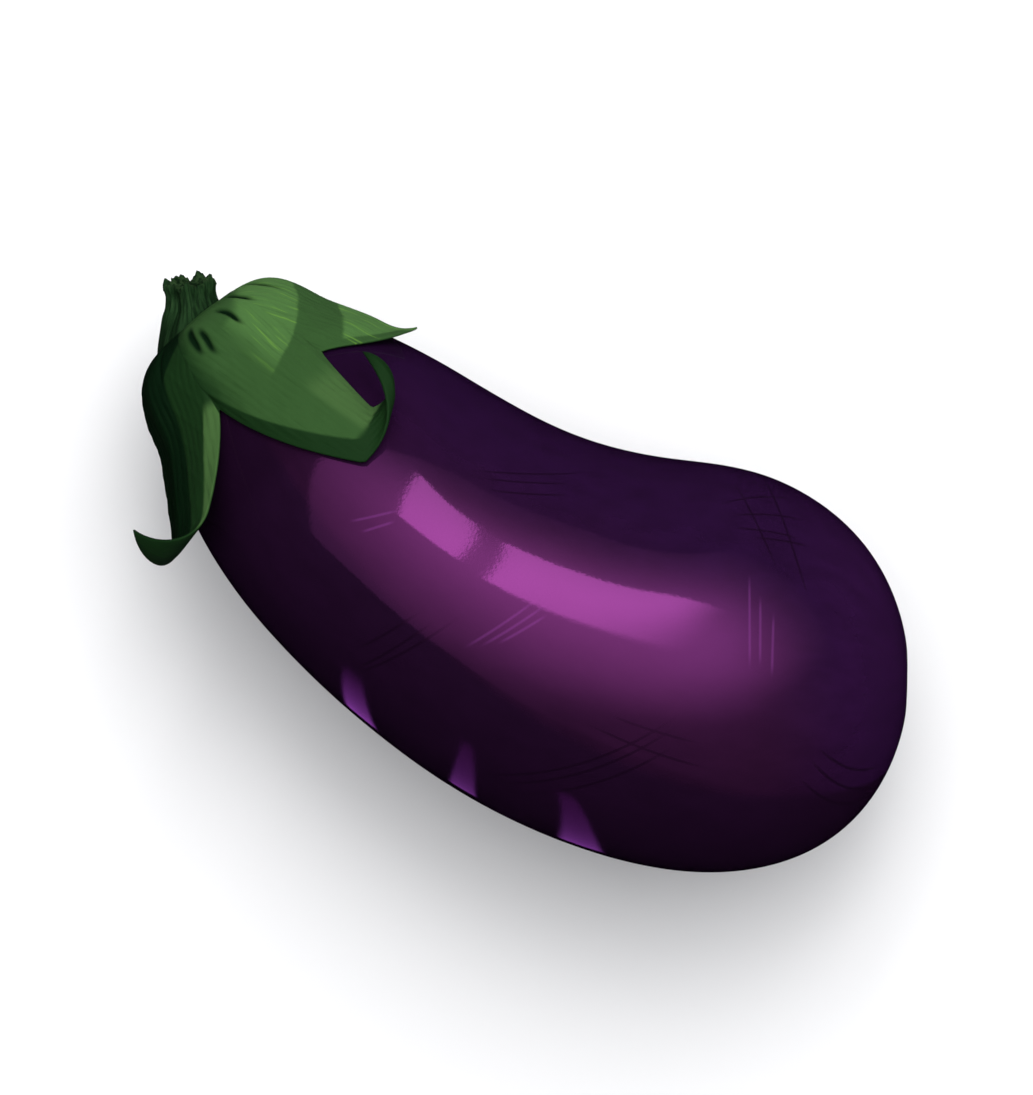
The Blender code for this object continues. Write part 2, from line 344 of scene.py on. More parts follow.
def new_tree(name, sizes):
    """A node tree with a named number for each size. It also returns the fields that read them."""
    tree = bpy.data.node_groups.new(name, "GeometryNodeTree")
    tree.interface.new_socket("Geometry", in_out="OUTPUT", socket_type="NodeSocketGeometry")
    tree.interface.new_socket("Geometry", in_out="INPUT", socket_type="NodeSocketGeometry")
    for size, value in sizes.items():
        tree.interface.new_socket(size, in_out="INPUT", socket_type="NodeSocketFloat").default_value = value
    given = tree.nodes.new("NodeGroupInput")
    return tree, {size: Field(tree, given.outputs[size]) for size in sizes}


def finish_tree(tree, geometry, material):
    """Ends a tree: instances made real, shaded smooth, with their material."""
    real = field(tree, "GeometryNodeRealizeInstances", {0: geometry})
    smooth = field(tree, "GeometryNodeSetShadeSmooth", {0: real})
    coated = field(tree, "GeometryNodeSetMaterial", {0: smooth, "Material": material})
    ending = tree.nodes.new("NodeGroupOutput")
    plug(tree, coated, ending.inputs[0])


def add_object(name, data):
    made = bpy.data.objects.new(name, data)
    bpy.context.scene.collection.objects.link(made)
    return made


def grown(name, tree, sizes):
    """A plain mesh object from a node tree, with its modifier gone."""
    made = add_object(name, bpy.data.meshes.new(name))
    growth = made.modifiers.new("growth", "NODES")
    growth.node_group = tree
    for item in tree.interface.items_tree:
        if item.name in sizes:
            growth[item.identifier] = sizes[item.name]
    graph = bpy.context.evaluated_depsgraph_get()
    grown_object = made.evaluated_get(graph)
    plain = bpy.data.meshes.new_from_object(grown_object, preserve_all_data_layers=True, depsgraph=graph)
    made.modifiers.clear()
    made.data = plain
    plain.name = name
    return made


def centre_line_sample(tree, factor):
    """The place, heading and distance along the plan centre line where factor is 0 to 1, and its length."""
    corners = dict(zip(("Start", "Start Handle", "End Handle", "End"), ((*p, 0.0) for p in CENTRE_LINE)))
    line = field(tree, "GeometryNodeCurvePrimitiveBezierSegment", {"Resolution": 400, **corners})
    length = field(tree, "GeometryNodeCurveLength", {0: line})
    sample = add_node(tree, "GeometryNodeSampleCurve", {"Curves": line, "Factor": factor}, mode="FACTOR")
    place = parts_of(Field(tree, sample.outputs["Position"]))
    heading = parts_of(field(tree, "ShaderNodeVectorMath", {0: Field(tree, sample.outputs["Tangent"])},
                             operation="NORMALIZE"))
    return place, heading, factor * length, length


def dome(share):
    """A field's version of end_rounding."""
    return (1 - (1 - share).above().below() ** 3).above().math("SQRT")


def skin_middle(size, along, body):
    """The height of the fruit's middle, how tall the fruit is for its width, and the slope of its middle."""
    from_rest = along - size["Rest along"]
    from_top = along - size["Top along"]
    underside = from_rest * from_rest / (size["Underside radius"] * 2) - size["Flat depth"]
    top = size["Top height"] - from_top * from_top / (size["Top radius"] * 2)
    slope = (from_rest / size["Underside radius"] - from_top / size["Top radius"]) * 0.5
    return (top + underside) * 0.5, (top - underside) / (body * 2), slope


def skin_relief(tree, size, share, turn, along, radius):
    """How deep the low swells are, and how far the corky scar is sunk into the blossom end."""
    ball = vector_of(tree, turn.cos() * radius, turn.sin() * radius, along)
    swell = noise(tree, ball, size["Swell size"] ** -1, detail=1.0) * size["Swell depth"]
    cork = (noise(tree, ball, size["Cork scale"], detail=3.0) - 0.5) * size["Cork depth"]
    in_scar = radius.bell(size["Scar radius"]) * share.math("GREATER_THAN", 0.5)
    return swell, in_scar * (size["Scar depth"] + cork)


def skin_tree(material):
    tree, size = new_tree("fruit skin", SKIN_SIZES)
    sheet = field(tree, "GeometryNodeMeshGrid",
                  {"Size X": 1.0, "Size Y": 1.0, "Vertices X": SKIN_RINGS + 1, "Vertices Y": SKIN_SIDES + 1})
    share, turn, _ = parts_of(field(tree, "GeometryNodeInputPosition"))
    share = share + 0.5
    turn = (turn + 0.5) * TAU
    place, heading, along, length = centre_line_sample(tree, (1 - (share * math.pi).cos()) * 0.5)

    growth = along.ramp(size["Neck ends at"], size["Bulb starts at"])
    body = size["Neck radius"] + (size["Bulb radius"] - size["Neck radius"]) * growth
    blossom_end = dome((length - along) / size["Blossom end length"])
    radius = body * dome(along / size["Shoulder length"]) * blossom_end
    middle, tallness, slope = skin_middle(size, along, body)
    steep = (slope * slope + 1).math("SQRT")
    swell, scar = skin_relief(tree, size, share, turn, along, radius)
    fading = (along / size["Flute reach"] * -1).math("EXPONENT")
    flutes = size["Flute share"] * (turn * FLUTES - FLUTE_PHASE).cos() * fading
    shape = 1 - size["Oval share"] * (turn * 2).sin() + flutes
    reach = radius * shape - (swell + size["Inset"]) * (radius / body)
    rise = reach * turn.cos() * tallness
    sideways = reach * turn.sin()
    back = scar + size["Inset"] * share.ramp(0.5, 1.0)

    x = place[0] - rise * slope * heading[0] / steep - sideways * heading[1] - back * heading[0]
    y = place[1] - rise * slope * heading[1] / steep + sideways * heading[0] - back * heading[1]
    z = middle + rise / steep
    rest_x, rest_y = rest_place()
    spot = vector_of(tree, (x - rest_x) * MM, (y - rest_y) * MM, z.above() * MM)
    marked = sheet
    for name, value in {"along": along, "upwards": turn.cos(), "sideways": turn.sin()}.items():
        marked = field(tree, "GeometryNodeStoreNamedAttribute",
                       {"Geometry": marked, "Name": name, "Value": value})
    moved = field(tree, "GeometryNodeSetPosition", {"Geometry": marked, "Position": spot})
    closed = field(tree, "GeometryNodeMergeByDistance", {"Geometry": moved, "Distance": 1e-6})
    finish_tree(tree, closed, material)
    return tree


def make_skin():
    skin = grown("glossy_skin", skin_tree(skin_material()), SKIN_SIZES)
    turn_outwards(skin.data)
    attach(skin, "root")
    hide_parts("fruit")


def turn_outwards(mesh):
    work = bmesh.new()
    work.from_mesh(mesh)
    bmesh.ops.recalc_face_normals(work, faces=work.faces)
    if work.calc_volume(signed=True) < 0:
        bmesh.ops.reverse_faces(work, faces=work.faces)
    work.to_mesh(mesh)
    work.free()


# Calyx: the solid's sheet with many more rows, with veins, creases and fine lengthwise ridges.
# Creases by the stem: angle in degrees, start and end over the fruit, and depth.
CREASES = ((-78, 11, 24, 0.8), (-42, 12, 20, 0.5), (-8, 14, 21, 0.9), (-1, 17, 23, 0.9), (21, 16, 22, 0.9),
           (42, 13, 19, 0.9), (66, 11, 21, 0.6), (95, 12, 24, 0.6), (128, 12, 20, 0.5), (160, 11, 23, 0.7),
           (196, 12, 20, 0.5), (228, 11, 24, 0.7), (256, 12, 21, 0.5))
CREASE_HALF_WIDTH = 0.55
RIDGE_HEIGHT = 0.10
RIDGE_SPACING = 1.7
VEIN_HEIGHT = 0.13
VEIN_SPACING = 7.5
VEIN_HALF_WIDTH = 0.55
VEIN_SLANT = 1.5
VEIN_WANDER = 1.3
LUMP_HEIGHT = 0.16
RELIEF_INSET = 0.12
MARGIN_ROUNDS_AT = 0.93


def rolled(way, lobe):
    """Where a point goes when its lobe first lifts in a wide arc and then rolls up in a tight one."""
    wide, tight = lobe.lift_radius, lobe.roll_radius
    first = np.clip(way, 0, lobe.roll_after) / wide
    turned = first + np.maximum(way - lobe.roll_after, 0) / tight
    along = wide * np.sin(first) + tight * (np.sin(turned) - np.sin(first)) + np.minimum(way, 0)
    height = wide * (1 - np.cos(first)) + tight * (np.cos(first) - np.cos(turned))
    return along, height


def sheet_thickness(over, rows):
    """The calyx is a fleshy crown round the stem, thinner in its lobes and thinnest at its margin."""
    crown = 1 - smoother((over - 0.3 * CROWN_ENDS_AT) / (0.7 * CROWN_ENDS_AT))
    thick = LOBE_THICKNESS + (CROWN_THICKNESS - LOBE_THICKNESS) * crown
    thick = thick - CROWN_DISH * np.exp(-((over / DISH_RADIUS) ** 2))
    return thick - (thick - MARGIN_THICKNESS) * smoother((rows - 0.8) / 0.2)


def lobe_outline(index, columns):
    """For each column of a lobe: its turn from the tip's line, where the sinuses are there, and its reach."""
    lobe = LOBES[index]
    (left_deg, left_at), (right_deg, right_at) = SINUSES[index], SINUSES[(index + 1) % len(SINUSES)]
    left = math.radians(left_deg) - math.radians(lobe.tip_deg)
    right = math.radians(right_deg + (360 if right_deg < left_deg else 0)) - math.radians(lobe.tip_deg)
    across = columns[None, :]
    turn = np.where(across < 0, -across * left, across * right)
    sinus_at = (left_at + right_at) / 2 + (right_at - left_at) / 2 * across
    point = np.where(across < 0, lobe.point[0], lobe.point[1])
    reach = sinus_at + (lobe.tip_at - sinus_at) * (1 - np.abs(across)) ** point
    return turn, sinus_at, reach


def bent(lobe, over, lateral):
    """Where points go when their lobe lifts and rolls: over the fruit, to its side and off it."""
    direction = math.radians(lobe.roll_deg)
    ahead, aside = math.cos(direction), math.sin(direction)
    way = (over - lobe.lift_at) * ahead + lateral * aside
    along, height = rolled(way, lobe)
    move = along - way
    drift = lobe.drift * np.maximum(way - lobe.roll_after, 0)
    return over + move * ahead - drift * aside, lateral + move * aside + drift * ahead, height


def lobe_sheet(index, columns):
    """The middle of the calyx sheet over one lobe, and the numbers for its relief and colour."""
    lobe = LOBES[index]
    tip = math.radians(lobe.tip_deg)
    turn, sinus_at, reach = lobe_outline(index, columns)
    rows = np.linspace(0, 1, CALYX_ROWS)[1:, None] ** ROW_CROWDING
    over = rows * reach
    across = form_at(over, "radius") * turn
    past = np.clip((over - sinus_at) / (lobe.tip_at - sinus_at), 0, 1)
    over_bent, across_bent, height = bent(lobe, over, across + lobe.sweep * past**2)
    angle = tip + across_bent / np.maximum(form_at(over_bent, "radius"), 1e-3)
    lift = GAP + sheet_thickness(over, rows) / 2 + height
    flat_angle = np.mod(tip + turn + math.pi, TAU) - math.pi + 0 * over
    numbers = {"across": across, "over": over, "edge": rows + 0 * over, "turn": flat_angle}
    return on_fruit(over_bent, angle, lift), numbers


def sheet_normals(middle, centre):
    """Unit normals of a closed fan of rows, pointing away from the fruit."""
    around = np.roll(middle, -1, axis=1) - np.roll(middle, 1, axis=1)
    with_centre = np.concatenate([np.broadcast_to(centre, middle[:1].shape), middle])
    outwards = np.gradient(with_centre, axis=0)[1:]
    return unit(np.cross(outwards, around))


def ripple(spot, size, seed):
    """A smooth random height of about -1 to 1 at each point, from a few sines in fixed directions."""
    draw = np.random.default_rng(seed)
    total = 0.0
    for _ in range(9):
        direction = unit(draw.normal(size=3))
        pace = TAU / (size * draw.uniform(0.7, 1.6))
        total = total + np.sin(spot @ direction * pace + draw.uniform(0, TAU))
    return total / 5


def crease_depth(numbers, spot):
    """How deep the short grooves by the stem are."""
    over = numbers["over"]
    grooves = 0.0
    for angle_deg, start, end, depth in CREASES:
        turn = np.mod(numbers["turn"] - math.radians(angle_deg) + math.pi, TAU) - math.pi
        aside = turn * form_at(over, "radius") + 0.5 * ripple(spot, size=7.0, seed=11)
        span = smoother((over - start) / 3 + 0.5) * smoother((end - over) / 5 + 0.5)
        grooves = grooves + depth * np.exp(-((aside / CREASE_HALF_WIDTH) ** 2)) * span
    return grooves


def calyx_relief(numbers, spot):
    """How far the outer side stands off its smooth form, apart from the creases."""
    across, over, edge = numbers["across"], numbers["over"], numbers["edge"]
    past_foot = smoother((over - STEM_FOOT_AT - 1) / 12)
    rib = RIB_HEIGHT * np.exp(-((across / RIB_HALF_WIDTH) ** 2)) * smoother((1 - edge) / 0.35) * past_foot
    wander = VEIN_WANDER * ripple(spot, size=16.0, seed=3)
    strength = 0.6 + 0.4 * ripple(spot, size=9.0, seed=5)
    ridges = RIDGE_HEIGHT * np.sin(TAU * (across + 0.35 * wander) / RIDGE_SPACING) * strength
    branch = np.mod(over - VEIN_SLANT * np.abs(across) + wander, VEIN_SPACING) - VEIN_SPACING / 2
    veins = VEIN_HEIGHT * np.exp(-((branch / VEIN_HALF_WIDTH) ** 2)) * smoother((np.abs(across) - 1) / 3)
    fine = (ridges + veins) * smoother((1 - edge) / 0.1) * past_foot
    lumps = LUMP_HEIGHT * ripple(spot, size=11.0, seed=7) * smoother((1 - edge) / 0.15)
    return rib + fine + lumps - RELIEF_INSET


def calyx_points():
    """Outer and inner points of the calyx, its middle point, and the numbers for its relief and colour."""
    steps = np.arange(LOBE_COLUMNS) / LOBE_COLUMNS * 2 - 1
    columns = np.sign(steps) * np.abs(steps) ** COLUMN_CROWDING
    sheets = [lobe_sheet(index, columns) for index in range(len(LOBES))]
    middle = np.concatenate([sheet for sheet, _ in sheets], axis=1)
    numbers = {name: np.concatenate([given[name] for _, given in sheets], axis=1) for name in sheets[0][1]}
    numbers["groove"] = crease_depth(numbers, middle)
    centre = on_fruit(0.0, 0.0, GAP + sheet_thickness(0.0, 0.0) / 2)
    outward = sheet_normals(middle, centre)
    thick = sheet_thickness(numbers["over"], numbers["edge"])
    relief = calyx_relief(numbers, middle) - numbers["groove"]
    rounding = smoother((numbers["edge"] - MARGIN_ROUNDS_AT) / (1 - MARGIN_ROUNDS_AT))
    margin = np.sqrt(np.clip(1 - rounding**2, 0, 1)) * 0.5 + 0.5
    outer = middle + outward * ((thick / 2 + relief) * margin)[..., None]
    inner = middle - outward * (thick / 2 * margin)[..., None]
    return outer, inner, centre, numbers


def ring_faces(rows, sides):
    """Quads between neighbouring rings of points, each ring closed on itself."""
    faces = []
    for row in range(rows - 1):
        for column in range(sides):
            following = (column + 1) % sides
            low, high = row * sides, (row + 1) * sides
            faces.append((low + column, low + following, high + following, high + column))
    return faces


def fan_faces(pole, first, sides):
    return [(pole, first + column, first + (column + 1) % sides) for column in range(sides)]


def mesh_piece(name, points, faces, material, marks):
    """An object from points in millimetres, with a named number on each point for its material to read."""
    mesh = bpy.data.meshes.new(name)
    mesh.from_pydata((np.asarray(points) * MM).tolist(), [], faces)
    for label, values in marks.items():
        layer = mesh.attributes.new(label, "FLOAT", "POINT")
        layer.data.foreach_set("value", np.asarray(values, np.float32).ravel())
    turn_outwards(mesh)
    mesh.shade_smooth()
    mesh.materials.append(material)
    return add_object(name, mesh)


def sheet_faces(rows, sides):
    """Faces of a closed sheet: its two sides, a fan in the middle of each, and the rim that joins them."""
    count = rows * sides
    faces = ring_faces(rows, sides)
    faces += [tuple(count + corner for corner in reversed(face)) for face in ring_faces(rows, sides)]
    faces += fan_faces(2 * count, 0, sides)
    faces += [tuple(reversed(face)) for face in fan_faces(2 * count + 1, count, sides)]
    rim = count - sides
    for column in range(sides):
        following = (column + 1) % sides
        faces.append((rim + column, rim + following, count + rim + following, count + rim + column))
    return faces


def make_calyx():
    outer, inner, centre, numbers = calyx_points()
    rows, sides = outer.shape[:2]
    count = rows * sides
    half = -FORM["ahead"][0] * sheet_thickness(0.0, 0.0) / 2
    points = np.vstack([outer.reshape(-1, 3), inner.reshape(-1, 3), [centre + half, centre - half]])
    marks = {name: np.append(np.tile(values.ravel(), 2), [0.0, 0.0]) for name, values in numbers.items()}
    marks["inner"] = np.concatenate([np.zeros(count), np.ones(count), [0.0, 1.0]])
    calyx = mesh_piece("leathery_calyx", points, sheet_faces(rows, sides), calyx_material(), marks)
    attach(calyx, "root")
    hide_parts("calyx")


# Stem: ribs and fibres down its side, and a torn end with a hollow, fibrous face.
def above_crown(over):
    return 2 * GAP + sheet_thickness(over, 0.0)


def stem_rings(t, path, ahead, across, angle):
    """Rings up the stem, ribbed and fibrous. The lowest follows the calyx and the highest is jagged."""
    radius = STEM_WAIST_RADIUS + (STEM_FOOT_AT - STEM_WAIST_RADIUS) * np.exp(-5 * t)
    radius += (STEM_TOP_RADIUS - STEM_WAIST_RADIUS) * smoother((t - 0.6) / 0.4)
    ribs = STEM_RIB_SHARE * (np.cos(5 * angle + 0.5) + 0.4 * np.cos(8 * angle + 1.7))
    fibres = 0.016 * np.cos(31 * angle + 2.0 * np.cos(3 * angle)) + 0.012 * np.cos(53 * angle + 0.7)
    grooved = ribs * smoother(t / 0.3)[:, None] + fibres * (0.5 + 0.5 * smoother(t / 0.2)[:, None])
    torn = TORN_DEPTH * (0.6 * np.cos(7 * angle) + 0.4 * np.cos(11 * angle + 1.0))
    frayed = 0.22 * np.cos(29 * angle + 1.3) + 0.14 * np.cos(47 * angle)
    near_end = smoother((t - 0.8) / 0.2)[:, None]
    rings = path[:, None, :] + (radius[:, None] * (1 + grooved))[..., None] * across
    rings += ((torn + frayed - 0.2) * near_end)[..., None] * ahead[:, None, :]
    foot = on_fruit(STEM_FOOT_AT, angle, above_crown(STEM_FOOT_AT) - STEM_SINK)
    settled = smoother(t / 0.3)[:, None, None]
    rings = foot + (rings - foot) * settled
    return rings + 0.12 * ripple(rings, size=5.0, seed=21)[..., None] * across * settled


def torn_rings(rim, hollow, ahead):
    """Rings from the torn rim in to the hollow middle of the end, crumbled like broken fibres."""
    inwards = np.linspace(0, 1, TORN_ROWS + 1)[1:-1, None, None]
    flat = rim * (1 - inwards) + hollow * inwards
    crumbled = 0.35 * ripple(flat, size=2.2, seed=31)
    return flat - (0.55 * np.sin(np.pi * inwards[..., 0]) - crumbled)[..., None] * ahead


def make_stem():
    t = np.linspace(0, 1, STEM_ROWS)
    foot_centre = on_fruit(0.0, 0.0, above_crown(0.0))
    path = foot_centre + bezier(STEM_BEND, t)
    ahead = unit(np.gradient(path, axis=0))
    side = unit(np.cross(ahead, [0, 0, 1]))
    up = np.cross(side, ahead)
    angle = TAU * np.arange(STEM_SIDES) / STEM_SIDES
    across = np.cos(angle)[None, :, None] * up[:, None, :] + np.sin(angle)[None, :, None] * side[:, None, :]
    rings = stem_rings(t, path, ahead, across, angle)
    under = on_fruit(STEM_FOOT_AT / 2, angle, above_crown(STEM_FOOT_AT / 2) - 0.3)
    hollow = path[-1] - 0.8 * ahead[-1]
    end = torn_rings(rings[-1], hollow, ahead[-1])
    points = np.vstack([under, rings.reshape(-1, 3), end.reshape(-1, 3), [foot_centre, hollow]])
    rows = STEM_ROWS + TORN_ROWS
    count = rows * STEM_SIDES
    faces = ring_faces(rows, STEM_SIDES)
    faces += fan_faces(count, 0, STEM_SIDES) + fan_faces(count + 1, count - STEM_SIDES, STEM_SIDES)
    height = np.concatenate([[0.0], t, np.full(TORN_ROWS - 1, 1.0)])
    torn_face = np.concatenate([np.zeros(1 + STEM_ROWS), np.linspace(0, 1, TORN_ROWS + 1)[1:-1]])
    marks = {
        "turn": np.append(np.tile(angle, rows), [0.0, 0.0]),
        "height": np.append(np.repeat(height, STEM_SIDES), [0.0, 1.0]),
        "torn": np.append(np.repeat(torn_face, STEM_SIDES), [0.0, 1.0]),
    }
    stem = mesh_piece("ribbed_stem", points, faces, stem_material(), marks)
    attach(stem, "root")
    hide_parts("stem")


# Materials
SKIN_PLUM = (0.0165, 0.0035, 0.0170)
# Painted bluish shade for the hollow side.
SKIN_PAINTED_HOLLOW_SHADE = (0.0140, 0.0032, 0.0222)
# Painted light: a brighter blossom end, standing in for light that falls off on its steep side.
SKIN_PAINTED_TIP_LIGHT = (0.0205, 0.0043, 0.0310)
# Painted shade for the lower side.
SKIN_PAINTED_LOWER_SHADE = (0.0112, 0.0028, 0.0138)
# Painted shade low on the fruit and a painted shadow of the calyx on the neck. It is also the colour of the
# darker streaks and dark scuffs.
SKIN_PAINTED_SHADE_AND_MARKS = (0.0060, 0.0016, 0.0070)
SCAR_TAN = (0.11, 0.065, 0.04)
SCUFF_PINK = (0.090, 0.020, 0.110)
SKIN_SHINE = (0.95, 0.165, 0.89, 1.0)


def new_material(name):
    material = bpy.data.materials.new(name)
    material.use_nodes = True
    tree = material.node_tree
    return material, tree, tree.nodes["Principled BSDF"]


def object_place(tree):
    return field(tree, "ShaderNodeTexCoord", output="Object")


def mark(tree, name):
    """The number that the mesh carries on its points under this name."""
    return field(tree, "ShaderNodeAttribute", output="Fac", attribute_name=name)


def bump(tree, shader, height, depth):
    """Relief finer than the mesh: height is 0 to 1 and depth is in millimetres."""
    node = add_node(tree, "ShaderNodeBump", {"Height": height, "Distance": depth * MM, "Strength": 1.0})
    tree.links.new(node.outputs["Normal"], shader.inputs["Normal"])


# Fine straight scuffs in the skin: where both ends are along the fruit and round it, in millimetres.
ROUND_RADIUS = 45.0
PALE_SCUFFS = (
    (58.4, -7.5, 66.5, 4.9), (62.2, -7.3, 67.3, 1.8), (95.5, -15.3, 105.9, 5.3),
    (98.4, -12.8, 108.6, 5.3), (101.6, -9.8, 109.7, 2.9), (156.3, 25.3, 159.0, 0.2),
    (159.7, 20.0, 161.3, 1.4), (163.4, 16.1, 164.2, -0.6),
)
DARK_SCUFFS = (
    (72.6, 25.5, 103.0, 46.1), (75.9, 25.1, 100.0, 39.3), (79.1, 23.0, 101.4, 35.1),
    (76.7, -34.4, 84.5, -11.2), (78.5, -40.6, 88.2, -11.0), (78.8, -42.4, 93.0, -5.3),
    (144.1, 43.0, 169.3, 57.7), (148.7, 40.3, 172.0, 48.3), (149.3, 36.3, 171.0, 39.7),
    (155.2, 34.4, 173.5, 38.3), (148.2, 56.9, 164.7, 25.1), (157.4, 65.0, 173.0, 18.0),
    (123.9, -17.1, 153.9, -21.4), (128.2, -13.7, 150.6, -15.7), (103.5, -49.9, 147.4, -7.3),
    (109.4, -47.5, 147.1, -10.0), (114.5, -46.9, 146.3, -15.3), (174.9, -15.9, 192.6, -38.4),
    (173.2, -18.3, 191.0, -46.0), (171.0, -22.8, 189.0, -50.0),
)
SCUFF_HALF_WIDTH = 0.45


def scuffs(tree, along, turn, lines):
    """1 in the middle of each scuff, falling to 0 at its sides and ends."""
    spot = vector_of(tree, along, turn * ROUND_RADIUS, 0.0)
    total = 0.0
    for start_x, start_y, end_x, end_y in lines:
        reach = math.hypot(end_x - start_x, end_y - start_y)
        ahead = ((end_x - start_x) / reach, (end_y - start_y) / reach)
        way = dot(spot, (*ahead, 0.0)) - (start_x * ahead[0] + start_y * ahead[1])
        aside = dot(spot, (-ahead[1], ahead[0], 0.0)) - (start_y * ahead[0] - start_x * ahead[1])
        line = aside.math("ABSOLUTE").ramp(SCUFF_HALF_WIDTH, 0.1, "LINEAR")
        total = line * way.ramp(0.0, reach * 0.3) * way.ramp(reach, reach * 0.7) + total
    return total.below()


# The edge of the painted shade on the fruit's lower side: turns in radians, ways along it in millimetres.
BAND_STARTS_AT, BAND_TURN, BAND_SLANT = 45.0, 0.227, 0.0033
BAND_DROPS_AT, BAND_DROP, BAND_DROP_LENGTH = 197.0, 0.87, 6.0
BAND_BLUR = 0.05
UNDERSIDE_STARTS = (1.9, 2.6)
LOW_SHADE_STARTS = (-0.50, -0.75)
# Other colours: the painted bluish shade by metres to the hollow side, the painted light at the tip and the
# painted shadow of the calyx on the neck by millimetres along the fruit, and the scar by millimetres from the
# tip.
PAINTED_HOLLOW_SHADE_STARTS = (-0.006, 0.040)
PAINTED_TIP_LIGHT_STARTS = (158.0, 197.0)
NECK_SHADE_ENDS = (44.0, 34.0)
SCAR_ENDS = (0.5, 0.15)


def band_edge(along):
    """The turn round the fruit below which painted shade darkens its skin. It drops away at the blossom end.
    """
    drop = ((along - BAND_DROPS_AT) / BAND_DROP_LENGTH).math("EXPONENT") * BAND_DROP
    return -BAND_TURN - (along - BAND_STARTS_AT) * BAND_SLANT - drop


def skin_colour(tree, place, along, turn, streaks, clouds):
    """Plum, with painted bluish shade on the hollow side, painted light at the tip, painted shade on the
    lower side, a painted shadow of the calyx at the neck, and darker streaks.
    """
    to_hollow = parts_of(place)[1]
    below_band = turn - band_edge(along)
    # Painted shade below the band's edge and on the underside.
    deep = below_band.ramp(BAND_BLUR, -BAND_BLUR) + turn.ramp(*UNDERSIDE_STARTS)
    return layered(
        tree, SKIN_PLUM,
        # Painted bluish shade on the hollow side.
        ((to_hollow + (clouds - 0.5) * 0.03).ramp(*PAINTED_HOLLOW_SHADE_STARTS), SKIN_PAINTED_HOLLOW_SHADE),
        # Painted light at the blossom end.
        (along.ramp(*PAINTED_TIP_LIGHT_STARTS), SKIN_PAINTED_TIP_LIGHT),
        # Painted shade on the lower side.
        (deep.below(), SKIN_PAINTED_LOWER_SHADE),
        # Painted shade lowest on the lower side.
        (below_band.ramp(*LOW_SHADE_STARTS) * 0.25, SKIN_PAINTED_SHADE_AND_MARKS),
        # Painted shadow of the calyx on the neck.
        (along.ramp(*NECK_SHADE_ENDS) * 0.45, SKIN_PAINTED_SHADE_AND_MARKS),
        (((streaks - 0.35).above() * 0.9).below(), SKIN_PAINTED_SHADE_AND_MARKS),
    )


def skin_material():
    """Thin waxy skin with faint streaks, pores and scuffs, and a corky scar at the blossom end."""
    material, tree, shader = new_material("glossy_purple_skin")
    place = object_place(tree)
    along, upwards, sideways = (mark(tree, name) for name in ("along", "upwards", "sideways"))
    turn = sideways.math("ARCTAN2", upwards)
    lengthwise = vector_of(tree, along * 0.012, upwards, sideways)
    streaks = noise(tree, lengthwise, 9.0, detail=4.0, roughness=0.6)
    clouds = noise(tree, place, 26.0, detail=2.0)
    pores = noise(tree, place, 1300.0, detail=2.0)
    pale, dark = scuffs(tree, along, turn, PALE_SCUFFS), scuffs(tree, along, turn, DARK_SCUFFS)
    from_tip = FORM["along"][-1] - along
    scar = (from_tip + (noise(tree, place, 500.0) - 0.5) * 0.8).ramp(*SCAR_ENDS)
    colour = skin_colour(tree, place, along, turn, streaks, clouds)
    colour = layered(tree, colour, (pale * 0.45, SCUFF_PINK), (dark * 0.75, SKIN_PAINTED_SHADE_AND_MARKS), (scar, SCAR_TAN))
    plug(tree, colour, shader.inputs["Base Color"])
    gloss = 0.05 + (clouds - 0.5) * 0.03 + pores * 0.03 + scar * 0.5 + dark * 0.10
    plug(tree, gloss, shader.inputs["Roughness"])
    shader.inputs["Specular Tint"].default_value = SKIN_SHINE
    shader.inputs["Specular IOR Level"].default_value = 0.5
    shader.inputs["IOR"].default_value = 1.5
    bump(tree, shader, pores * 0.5 + streaks * 0.5, 0.012)
    return material


# Calyx greens: the mid green is the calyx's own colour. The others are painted light in two strengths and
# painted shade in two depths. The lighter shade also darkens streaks, and the pale streak green shows only in
# painted light.
CALYX_PAINTED_LIGHT = (0.046, 0.112, 0.029)
CALYX_PAINTED_HALF_LIGHT = (0.038, 0.087, 0.024)
CALYX_MID = (0.0225, 0.0615, 0.0157)
CALYX_PAINTED_SHADE_AND_STREAK = (0.0048, 0.0215, 0.0045)
CALYX_PAINTED_DEEP_SHADE = (0.0008, 0.0082, 0.0019)
CALYX_STREAK_IN_PAINTED_LIGHT = (0.095, 0.215, 0.030)

# Soft edges of the calyx's patches of painted light and shade: turns round the fruit in radians, ways over or
# across it in millimetres, and shares of the way to the margin. A patch's turns are where it starts and where
# it ends.
PATCH_EDGE = 0.7
# The turn where the crown's light starts falls along the fruit: the turn at a way over the fruit, that way,
# the fall a millimetre, and the least turn.
CROWN_LIGHT_TURN, CROWN_LIGHT_FROM, CROWN_LIGHT_FALL, CROWN_LIGHT_LEAST = 0.37, 18.0, 0.09, 0.10
CROWN_LIGHT_STARTS = (-0.02, 0.34)
CROWN_LIGHT_ENDS = (2.3, 1.5)
UPPER_TIP_TURNS = ((0.62, 0.68), (2.0, 2.1))
